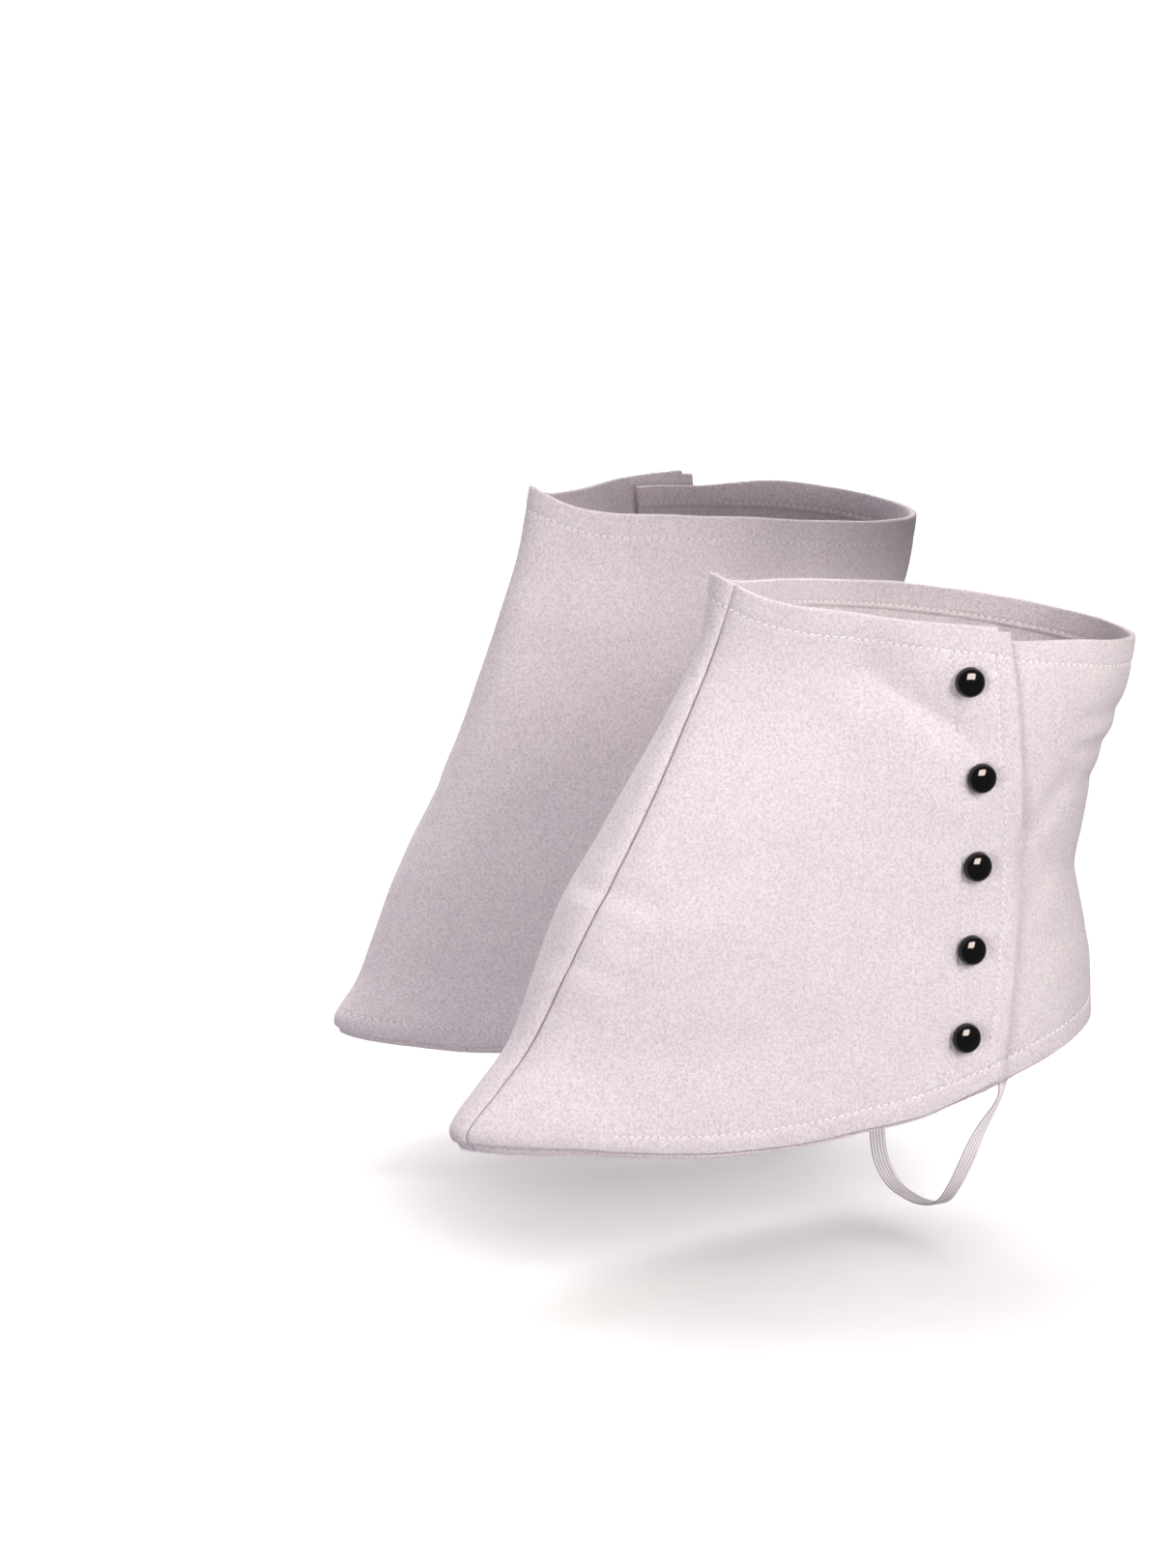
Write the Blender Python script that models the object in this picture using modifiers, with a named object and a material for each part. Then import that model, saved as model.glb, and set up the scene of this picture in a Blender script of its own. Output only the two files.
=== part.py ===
"""A pair of felt spats as worn, each with five domed buttons and an elastic strap under the foot.

+Z is up, the toes point to -Y and +X is the wearer's left. The origin is the middle of the left
ankle, where the wearer holds the left spat. Sizes are in millimetres until a point is placed.
"""

import math
from collections import namedtuple

import bmesh
import bpy
from mathutils import Vector

MM = 0.001

# Places on a foot: forward from the back of the heel, across from its middle plane, up from the ground
ANKLE_FORWARD = 55.0
ANKLE_HEIGHT = 150.0
PAIR_SPACING = 165.0

# The felt
FELT = 2.0
SEAM_GAP = 0.4
LAYER_GAP = 0.3
UNDERLAP = 28.0
LIFT_RUN = 26.0
LIFT_MARGIN = 3.0
SEAM_ROUND = 0.9
SIDE_DROP_SHAPE = 1.3
FRONT_DROP_SHAPE = 5.4
INNER_SIDE_FULLNESS = 0.95

# The mesh of a panel
LEVELS = 17
OUTER_COLUMNS = 14
FLAP_COLUMNS = 4
INNER_COLUMNS = 32
EDGE_COLUMN = 1.0
TURN_WEIGHT = 12.0
WALK_STEPS = 160
SMALL_STEP = 0.004
HALVINGS = 30

# Buttons
BUTTON_RADIUS = 5.4
BUTTON_BASE = 1.2
BUTTON_DOME = 3.6
BUTTON_CHAMFER = 0.5
BUTTON_STEPS = 16
DOME_STEPS = 4
BUTTON_LIFT = 0.4
WELD_DISTANCE = 0.05

# Strap
STRAP_WIDTH = 6.0
STRAP_THICKNESS = 1.0
STRAP_SEWN = 10.0
STRAP_GAP = 0.5
STRAP_POINTS = 40

# A row for each section round the foot, from the hem up to the top edge. Front and back are the
# ends of its middle line, side_drop and front_drop are how far it hangs below the straight line
# between them at the middle of a side and close behind the front, and flap is where the rear edge
# of the buttoned flap crosses it.
Section = namedtuple(
    "Section",
    "front front_height back back_height half_width nose_radius heel_radius side_drop front_drop flap")

LEFT_SECTIONS = (
    Section(233.5, 62.0, -13.5, 81.0, 43.0, 6.5, 30.0, 14.2, -3.2, 44.5),
    Section(236.5, 69.0, -13.3, 88.0, 43.0, 7.0, 30.0, 13.0, -2.0, 44.0),
    Section(226.0, 82.0, -12.8, 98.0, 42.5, 7.5, 30.0, 11.0, 0.0, 42.0),
    Section(213.0, 98.0, -11.7, 111.0, 42.0, 8.0, 29.0, 9.0, 0.0, 39.5),
    Section(203.5, 121.0, -8.6, 126.0, 41.0, 11.5, 28.0, 6.5, 0.0, 37.0),
    Section(193.0, 144.0, -8.0, 144.0, 40.0, 14.0, 28.0, 4.0, 0.0, 35.5),
    Section(178.0, 167.0, -10.0, 160.0, 39.5, 12.5, 29.0, 2.0, 0.0, 35.0),
    Section(166.0, 186.0, -13.0, 174.0, 39.5, 10.5, 31.0, 1.0, 0.0, 36.0),
    Section(153.5, 206.0, -19.0, 188.0, 39.5, 7.5, 33.0, 0.5, 0.5, 37.5),
    Section(141.0, 230.0, -25.0, 203.0, 40.0, 5.8, 35.0, 0.5, 2.0, 39.5),
    Section(136.0, 256.0, -28.0, 219.0, 40.0, 10.0, 36.0, 1.0, 4.2, 42.0),
)

RIGHT_SECTIONS = (
    Section(205.5, 53.0, -16.0, 74.0, 43.0, 7.0, 30.0, 15.0, 0.0, 40.5),
    Section(206.5, 59.0, -16.0, 81.0, 43.0, 7.5, 30.0, 13.5, 0.0, 40.0),
    Section(197.5, 71.0, -16.0, 92.0, 42.5, 8.0, 30.0, 11.5, 0.0, 38.0),
    Section(190.5, 88.0, -15.0, 105.0, 42.0, 8.5, 29.0, 9.0, 0.0, 36.0),
    Section(181.5, 109.0, -12.0, 122.0, 41.0, 9.5, 28.0, 6.5, 0.0, 34.0),
    Section(169.5, 132.0, -11.0, 140.0, 40.0, 11.0, 28.0, 4.0, 0.0, 32.5),
    Section(156.5, 157.0, -13.0, 158.0, 39.5, 11.0, 29.0, 2.0, 0.0, 32.0),
    Section(147.5, 180.0, -16.0, 174.0, 39.5, 9.5, 31.0, 1.0, 0.0, 33.0),
    Section(139.5, 202.0, -21.0, 190.0, 39.5, 7.5, 33.0, 0.5, 0.5, 34.5),
    Section(131.5, 226.0, -27.0, 208.0, 40.0, 6.0, 35.0, 0.5, 2.0, 36.5),
    Section(126.5, 251.0, -30.0, 228.0, 40.0, 8.0, 36.0, 0.5, 5.0, 39.0),
)

# Soft folds pressed into the felt: side is +1 on the buttoned side and -1 on the inner side,
# from and to are ends of the fold's line, width is half of its breadth and a ridge has depth below 0
Fold = namedtuple("Fold", "side from_forward from_height to_forward to_height width depth")

LEFT_FOLDS = (
    Fold(1, 92.0, 224.0, 55.0, 196.0, 10.0, 1.5),
    Fold(1, 96.0, 205.0, 66.0, 176.0, 12.0, -1.0),
    Fold(1, 178.0, 140.0, 150.0, 158.0, 9.0, 1.1),
    Fold(1, 30.0, 150.0, -4.0, 138.0, 11.0, 1.3),
    Fold(-1, 150.0, 150.0, 96.0, 176.0, 11.0, 1.4),
    Fold(-1, 60.0, 200.0, 18.0, 168.0, 12.0, 1.3),
    Fold(-1, 36.0, 120.0, -2.0, 134.0, 10.0, 1.2),
)

RIGHT_FOLDS = (
    Fold(-1, 128.0, 190.0, 96.0, 160.0, 12.0, 1.2),
    Fold(-1, 150.0, 128.0, 112.0, 146.0, 11.0, 1.1),
    Fold(-1, 34.0, 124.0, -4.0, 140.0, 11.0, 1.3),
    Fold(1, 96.0, 226.0, 62.0, 200.0, 11.0, 1.4),
    Fold(1, 160.0, 132.0, 126.0, 152.0, 10.0, 1.2),
    Fold(1, 28.0, 146.0, -6.0, 136.0, 11.0, 1.2),
)

# The strap's free run, from below the hem on the buttoned side, under the foot and up again:
# forward and height are measured from its sewn end, across from the foot's middle plane, and turn
# is 0 where the tape's width runs along the foot and 90 where its front edge faces outwards
StrapPoint = namedtuple("StrapPoint", "forward across height turn")

STRAP_RUN = (
    StrapPoint(0.1, 38.6, -1.6, 12.0),
    StrapPoint(0.4, 38.8, -4.5, 52.0),
    StrapPoint(1.0, 39.0, -7.5, 64.0),
    StrapPoint(3.6, 39.0, -11.0, 58.0),
    StrapPoint(7.0, 38.4, -16.5, 30.0),
    StrapPoint(10.0, 37.0, -23.5, 5.0),
    StrapPoint(12.4, 34.5, -32.0, 0.0),
    StrapPoint(14.4, 30.5, -41.0, 0.0),
    StrapPoint(15.4, 23.5, -49.0, 0.0),
    StrapPoint(16.0, 12.0, -53.0, 0.0),
    StrapPoint(16.2, 0.0, -54.0, 0.0),
    StrapPoint(16.0, -12.0, -53.0, 0.0),
    StrapPoint(15.2, -22.5, -48.0, 0.0),
    StrapPoint(13.4, -29.5, -39.5, 0.0),
    StrapPoint(10.4, -34.0, -28.5, -6.0),
    StrapPoint(6.0, -36.3, -16.5, -10.0),
    StrapPoint(2.2, -37.2, -7.5, -2.0),
    StrapPoint(0.5, -37.4, -2.0, 6.0),
)

# Where each button sits on the flap, from the top one down
Spot = namedtuple("Spot", "forward height")

LEFT_BUTTONS = (
    Spot(57.5, 218.0), Spot(53.5, 183.5), Spot(54.7, 151.5), Spot(57.2, 121.5), Spot(60.3, 90.6))
RIGHT_BUTTONS = (
    Spot(54.0, 220.5), Spot(50.5, 186.0), Spot(51.0, 152.5), Spot(53.0, 119.5), Spot(56.5, 86.5))

# Each spat: direction is +1 where the buttoned side faces +X
Spat = namedtuple("Spat", "name direction centre sections folds buttons strap_forward")

SPATS = (
    Spat("left", 1, 0.0, LEFT_SECTIONS, LEFT_FOLDS, LEFT_BUTTONS, 39.0),
    Spat("right", -1, -PAIR_SPACING, RIGHT_SECTIONS, RIGHT_FOLDS, RIGHT_BUTTONS, 35.0),
)

# Colours and finishes of the sub-parts: linear colour, roughness
FINISHES = {
    "felt": ((0.83, 0.76, 0.79), 0.95),
    "button": ((0.008, 0.008, 0.009), 0.12),
    "elastic": ((0.80, 0.78, 0.79), 0.80),
}


def clear_scene():
    for thing in list(bpy.data.objects):
        bpy.data.objects.remove(thing)


def make_material(name, finish):
    colour, roughness = FINISHES[finish]
    material = bpy.data.materials.new(name)
    material.use_nodes = True
    shader = material.node_tree.nodes["Principled BSDF"]
    shader.inputs["Base Color"].default_value = (*colour, 1.0)
    shader.inputs["Roughness"].default_value = roughness
    shader.inputs["Metallic"].default_value = 0.0
    return material


def smooth_step(value):
    value = max(0.0, min(1.0, value))
    return value * value * (3.0 - 2.0 * value)


def between(rows, level):
    """The smooth curve through a table's rows, at a level from 0 to 1."""
    place = level * (len(rows) - 1)
    index = min(int(place), len(rows) - 2)
    part = place - index
    before = rows[max(index - 1, 0)]
    start = rows[index]
    end = rows[index + 1]
    after = rows[min(index + 2, len(rows) - 1)]
    mixed = []
    for a, b, c, d in zip(before, start, end, after):
        slope_in = (c - a) / 2
        slope_out = (d - b) / 2
        cubic = 2 * b - 2 * c + slope_in + slope_out
        square = 3 * c - 3 * b - 2 * slope_in - slope_out
        mixed.append(((cubic * part + square) * part + slope_in) * part + b)
    return type(start)(*mixed)


def egg_point(section, angle):
    """A point of a section's egg: angle 0 is the heel, pi the front and positive the buttoned side."""
    length = section.front - section.back
    share = (1 - math.cos(angle)) / 2
    heel = 2 * length * section.heel_radius
    nose = 2 * length * section.nose_radius
    waist = 4 * (4 * section.half_width ** 2 - (heel + nose) / 2)
    breadth = math.sqrt(heel + (nose - heel) * share + waist * share * (1 - share))
    across = math.sin(angle) / 2 * breadth
    if across < 0:
        across *= INNER_SIDE_FULLNESS
    height = section.back_height + (section.front_height - section.back_height) * share
    height -= section.side_drop * math.sin(math.pi * share ** SIDE_DROP_SHAPE)
    height -= section.front_drop * math.sin(math.pi * share ** FRONT_DROP_SHAPE)
    return Vector((section.back + length * share, across, height))


def egg_angle(section, forward):
    """The angle, on the buttoned side, of the point that lies this far forward."""
    share = (forward - section.back) / (section.front - section.back)
    return math.acos(1 - 2 * share)


def seam_angle(section):
    length = section.front - section.back
    return math.pi - 2 * SEAM_ROUND * math.sqrt(section.nose_radius / (2 * length))


def angle_for_length(section, angle, length):
    """How much the angle grows along this length of the section, near the given angle."""
    after = egg_point(section, angle + SMALL_STEP)
    before = egg_point(section, angle - SMALL_STEP)
    return length * 2 * SMALL_STEP / (after - before).length


def fold_depth(folds, point):
    """How deep the folds press the felt in at a point."""
    depth = 0.0
    for fold in folds:
        if fold.side * point.y < 0:
            continue
        start = Vector((fold.from_forward, fold.from_height))
        line = Vector((fold.to_forward, fold.to_height)) - start
        here = Vector((point.x, point.z)) - start
        along = here.dot(line) / line.length_squared
        nearest = max(0.0, min(1.0, along))
        distance = (here - line * nearest).length / fold.width
        depth += fold.depth * math.exp(-distance * distance)
    return depth


def surface_normal(spat, level, angle):
    low = max(level - SMALL_STEP, 0.0)
    high = min(level + SMALL_STEP, 1.0)
    upward = (egg_point(between(spat.sections, high), angle)
              - egg_point(between(spat.sections, low), angle))
    section = between(spat.sections, level)
    onward = egg_point(section, angle + SMALL_STEP) - egg_point(section, angle - SMALL_STEP)
    return upward.cross(onward).normalized()


def felt_point(spat, level, angle, lift=0.0):
    """A point on the outer face of the felt, folds pressed in, moved out by the lift."""
    point = egg_point(between(spat.sections, level), angle)
    normal = surface_normal(spat, level, angle)
    return point + normal * (lift - fold_depth(spat.folds, point))


def place(spat, point):
    """A point on the foot as a point of the pair's frame, in metres."""
    return Vector((spat.centre + spat.direction * point.y,
                   ANKLE_FORWARD - point.x,
                   point.z - ANKLE_HEIGHT)) * MM


def level_at_height(spat, forward, height):
    """The level at which the buttoned side, this far forward, reaches a height."""
    low, high = 0.0, 1.0
    for _ in range(HALVINGS):
        middle = (low + high) / 2
        section = between(spat.sections, middle)
        if egg_point(section, egg_angle(section, forward)).z < height:
            low = middle
        else:
            high = middle
    return (low + high) / 2


def spread(section, start, end, columns):
    """Angles from start to end, closer together where the section turns more sharply."""
    angles = [start + (end - start) * step / WALK_STEPS for step in range(WALK_STEPS + 1)]
    points = [egg_point(section, angle) for angle in angles]
    costs = [0.0]
    heading = points[1] - points[0]
    for before, after in zip(points, points[1:]):
        onward = after - before
        costs.append(costs[-1] + onward.length + TURN_WEIGHT * onward.angle(heading, 0.0))
        heading = onward
    chosen = [start]
    walk = 1
    for column in range(1, columns):
        wanted = costs[-1] * column / columns
        while costs[walk] < wanted:
            walk += 1
        part = (wanted - costs[walk - 1]) / (costs[walk] - costs[walk - 1])
        chosen.append(angles[walk - 1] + (angles[walk] - angles[walk - 1]) * part)
    return chosen + [end]


def outer_lift(section, forward):
    """The flap rises over the underlap that it is buttoned to."""
    risen = section.flap + UNDERLAP + LIFT_MARGIN
    near = (risen + LIFT_RUN - forward) / LIFT_RUN
    return (FELT + LAYER_GAP) * smooth_step(near)


def flap_angles(section):
    """The columns that both layers share, from the underlap's front edge to the flap's rear edge."""
    return spread(section, egg_angle(section, section.flap + UNDERLAP),
                  egg_angle(section, section.flap), FLAP_COLUMNS)


def outer_angles(section):
    """From the front seam, behind one narrow column that holds its edge, to the flap's rear edge."""
    seam = seam_angle(section)
    edge = seam - angle_for_length(section, seam, SEAM_GAP / 2)
    held = seam - angle_for_length(section, seam, SEAM_GAP / 2 + EDGE_COLUMN)
    flap = flap_angles(section)
    return [edge] + spread(section, held, flap[0], OUTER_COLUMNS) + flap[1:]


def inner_angles(section):
    """From under the flap round the heel and the inner side to the front seam."""
    seam = seam_angle(section)
    edge = seam + angle_for_length(section, seam, SEAM_GAP / 2) - 2 * math.pi
    held = seam + angle_for_length(section, seam, SEAM_GAP / 2 + EDGE_COLUMN) - 2 * math.pi
    flap = flap_angles(section)
    return flap[:-1] + spread(section, flap[-1], held, INNER_COLUMNS) + [edge]


def panel_grid(spat, angles_of, is_outer):
    """A panel's outer face as rows of points, from the hem up."""
    rows = []
    for index in range(LEVELS):
        level = index / (LEVELS - 1)
        section = between(spat.sections, level)
        row = []
        for angle in angles_of(section):
            lift = outer_lift(section, egg_point(section, angle).x) if is_outer else 0.0
            row.append(felt_point(spat, level, angle, lift))
        rows.append(row)
    return rows


def make_panel(spat, name, rows, collection):
    """A felt wall on a grid of points: the open outer face, thickened inwards."""
    mesh = bpy.data.meshes.new(name)
    shape = bmesh.new()
    grid = [[shape.verts.new(place(spat, point)) for point in row] for row in rows]
    for lower, upper in zip(grid, grid[1:]):
        for column in range(len(lower) - 1):
            shape.faces.new((lower[column], lower[column + 1], upper[column + 1], upper[column]))
    if spat.direction < 0:
        bmesh.ops.reverse_faces(shape, faces=shape.faces[:])
    shape.to_mesh(mesh)
    shape.free()
    mesh.shade_smooth()
    panel = bpy.data.objects.new(name, mesh)
    collection.objects.link(panel)
    panel.data.materials.append(make_material(name, "felt"))
    wall = panel.modifiers.new("felt", "SOLIDIFY")
    wall.thickness = FELT * MM
    wall.offset = -1.0
    return panel


def button_profile():
    """Half of a button's outline, from the top of its dome down its outer side to its flat back."""
    profile = []
    for index in range(DOME_STEPS + 1):
        angle = math.pi / 2 * (1 - index / DOME_STEPS)
        profile.append((BUTTON_RADIUS * math.cos(angle),
                        BUTTON_BASE + BUTTON_DOME * math.sin(angle)))
    profile.append((BUTTON_RADIUS, BUTTON_CHAMFER))
    profile.append((BUTTON_RADIUS - BUTTON_CHAMFER, 0.0))
    profile.append((0.0, 0.0))
    return profile


def make_button_mesh():
    mesh = bpy.data.meshes.new("button")
    profile = [Vector((radius, 0.0, height)) * MM for radius, height in button_profile()]
    edges = [(index, index + 1) for index in range(len(profile) - 1)]
    mesh.from_pydata(profile, edges, [])
    return mesh


def make_button(spat, number, spot, mesh, collection):
    name = f"{spat.name}_button_{number}"
    level = level_at_height(spat, spot.forward, spot.height)
    section = between(spat.sections, level)
    angle = egg_angle(section, spot.forward)
    lift = outer_lift(section, spot.forward)
    seat = place(spat, felt_point(spat, level, angle, lift + BUTTON_LIFT))
    above = place(spat, felt_point(spat, level, angle, lift + BUTTON_LIFT + BUTTON_DOME))
    button = bpy.data.objects.new(name, mesh.copy())
    collection.objects.link(button)
    button.location = seat
    button.rotation_mode = "QUATERNION"
    button.rotation_quaternion = (above - seat).to_track_quat("Z", "Y")
    button.data.materials.append(make_material(name, "button"))
    turn = button.modifiers.new("turned", "SCREW")
    turn.steps = BUTTON_STEPS
    turn.render_steps = BUTTON_STEPS
    turn.use_merge_vertices = True
    turn.merge_threshold = WELD_DISTANCE * MM
    turn.use_smooth_shade = True
    return button


def strap_end(spat, side, rise):
    """A point of the strap's sewn end, flat on the inside of one side, this far above the hem."""
    hem = felt_point(spat, 0.0, egg_angle(between(spat.sections, 0.0), spat.strap_forward)).z
    level = level_at_height(spat, spat.strap_forward, hem + rise)
    section = between(spat.sections, level)
    angle = side * egg_angle(section, spat.strap_forward)
    inset = FELT + STRAP_GAP + STRAP_THICKNESS / 2
    point = felt_point(spat, level, angle, -inset)
    ahead = egg_point(section, angle + side * SMALL_STEP)
    behind = egg_point(section, angle - side * SMALL_STEP)
    along = ahead - behind
    turn = math.degrees(math.atan2(side * along.y, along.x))
    return StrapPoint(point.x, point.y, point.z, turn)


def strap_line(spat):
    """The strap's centre line, sewn end to sewn end."""
    start = strap_end(spat, 1, 0.0)
    run = [StrapPoint(start.forward + point.forward, point.across, start.height + point.height, point.turn)
           for point in STRAP_RUN]
    return ([strap_end(spat, 1, STRAP_SEWN), strap_end(spat, 1, STRAP_SEWN / 2), start] + run
            + [strap_end(spat, -1, 0.0), strap_end(spat, -1, STRAP_SEWN / 2),
               strap_end(spat, -1, STRAP_SEWN)])


def make_strap(spat, collection):
    """A flat tape along the strap's line, thickened to both sides."""
    name = f"{spat.name}_strap"
    line = strap_line(spat)
    stations = [between(line, index / (STRAP_POINTS - 1)) for index in range(STRAP_POINTS)]
    centres = [Vector((station.forward, station.across, station.height)) for station in stations]
    mesh = bpy.data.meshes.new(name)
    shape = bmesh.new()
    edges = []
    for index, station in enumerate(stations):
        ahead = centres[min(index + 1, STRAP_POINTS - 1)]
        behind = centres[max(index - 1, 0)]
        onward = (ahead - behind).normalized()
        along_foot = Vector((1.0, 0.0, 0.0))
        along_foot = (along_foot - onward * along_foot.dot(onward)).normalized()
        outward = along_foot.cross(onward)
        turn = math.radians(station.turn)
        half = (along_foot * math.cos(turn) + outward * math.sin(turn)) * STRAP_WIDTH / 2
        edges.append([shape.verts.new(place(spat, centres[index] + half * share))
                      for share in (-1, 0, 1)])
    for above, below in zip(edges, edges[1:]):
        for column in (0, 1):
            shape.faces.new((above[column], above[column + 1], below[column + 1], below[column]))
    if spat.direction < 0:
        bmesh.ops.reverse_faces(shape, faces=shape.faces[:])
    shape.to_mesh(mesh)
    shape.free()
    mesh.shade_smooth()
    strap = bpy.data.objects.new(name, mesh)
    collection.objects.link(strap)
    strap.data.materials.append(make_material(name, "elastic"))
    tape = strap.modifiers.new("tape", "SOLIDIFY")
    tape.thickness = STRAP_THICKNESS * MM
    tape.offset = 0.0
    return strap


def build_pair():
    collection = bpy.data.collections.new("pair_of_spats")
    bpy.context.scene.collection.children.link(collection)
    button_mesh = make_button_mesh()
    for spat in SPATS:
        outer = panel_grid(spat, outer_angles, True)
        inner = panel_grid(spat, inner_angles, False)
        make_panel(spat, f"{spat.name}_outer_panel", outer, collection)
        make_panel(spat, f"{spat.name}_inner_panel", inner, collection)
        for number, seat in enumerate(spat.buttons, start=1):
            make_button(spat, number, seat, button_mesh, collection)
        make_strap(spat, collection)


clear_scene()
build_pair()
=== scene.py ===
import math
import random

import bpy
import numpy as np
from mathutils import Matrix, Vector, noise


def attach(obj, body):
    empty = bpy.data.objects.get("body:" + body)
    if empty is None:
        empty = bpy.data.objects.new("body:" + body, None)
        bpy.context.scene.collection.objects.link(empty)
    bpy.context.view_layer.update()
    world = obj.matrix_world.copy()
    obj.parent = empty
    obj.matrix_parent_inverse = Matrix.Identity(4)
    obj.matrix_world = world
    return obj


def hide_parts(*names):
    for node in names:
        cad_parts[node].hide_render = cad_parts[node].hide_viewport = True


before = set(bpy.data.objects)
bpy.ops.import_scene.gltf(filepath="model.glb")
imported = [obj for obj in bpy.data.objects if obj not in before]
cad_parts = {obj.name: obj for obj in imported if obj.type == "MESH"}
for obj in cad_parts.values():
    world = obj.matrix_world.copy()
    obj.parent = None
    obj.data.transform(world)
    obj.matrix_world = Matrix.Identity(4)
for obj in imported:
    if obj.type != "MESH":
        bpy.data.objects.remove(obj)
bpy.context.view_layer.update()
print("frame loaded:", len(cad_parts), "solids")

mm = 0.001
up = np.array((0.0, 0.0, 1.0))

# Places are worked out on a foot, in mm: forward from the back of the heel, across from its middle
# plane towards the buttoned side, and up from the ground. placed() turns them into the frame.
foot = {"ankleForward": 55.0, "ankleHeight": 150.0, "pairSpacing": 165.0}

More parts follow.
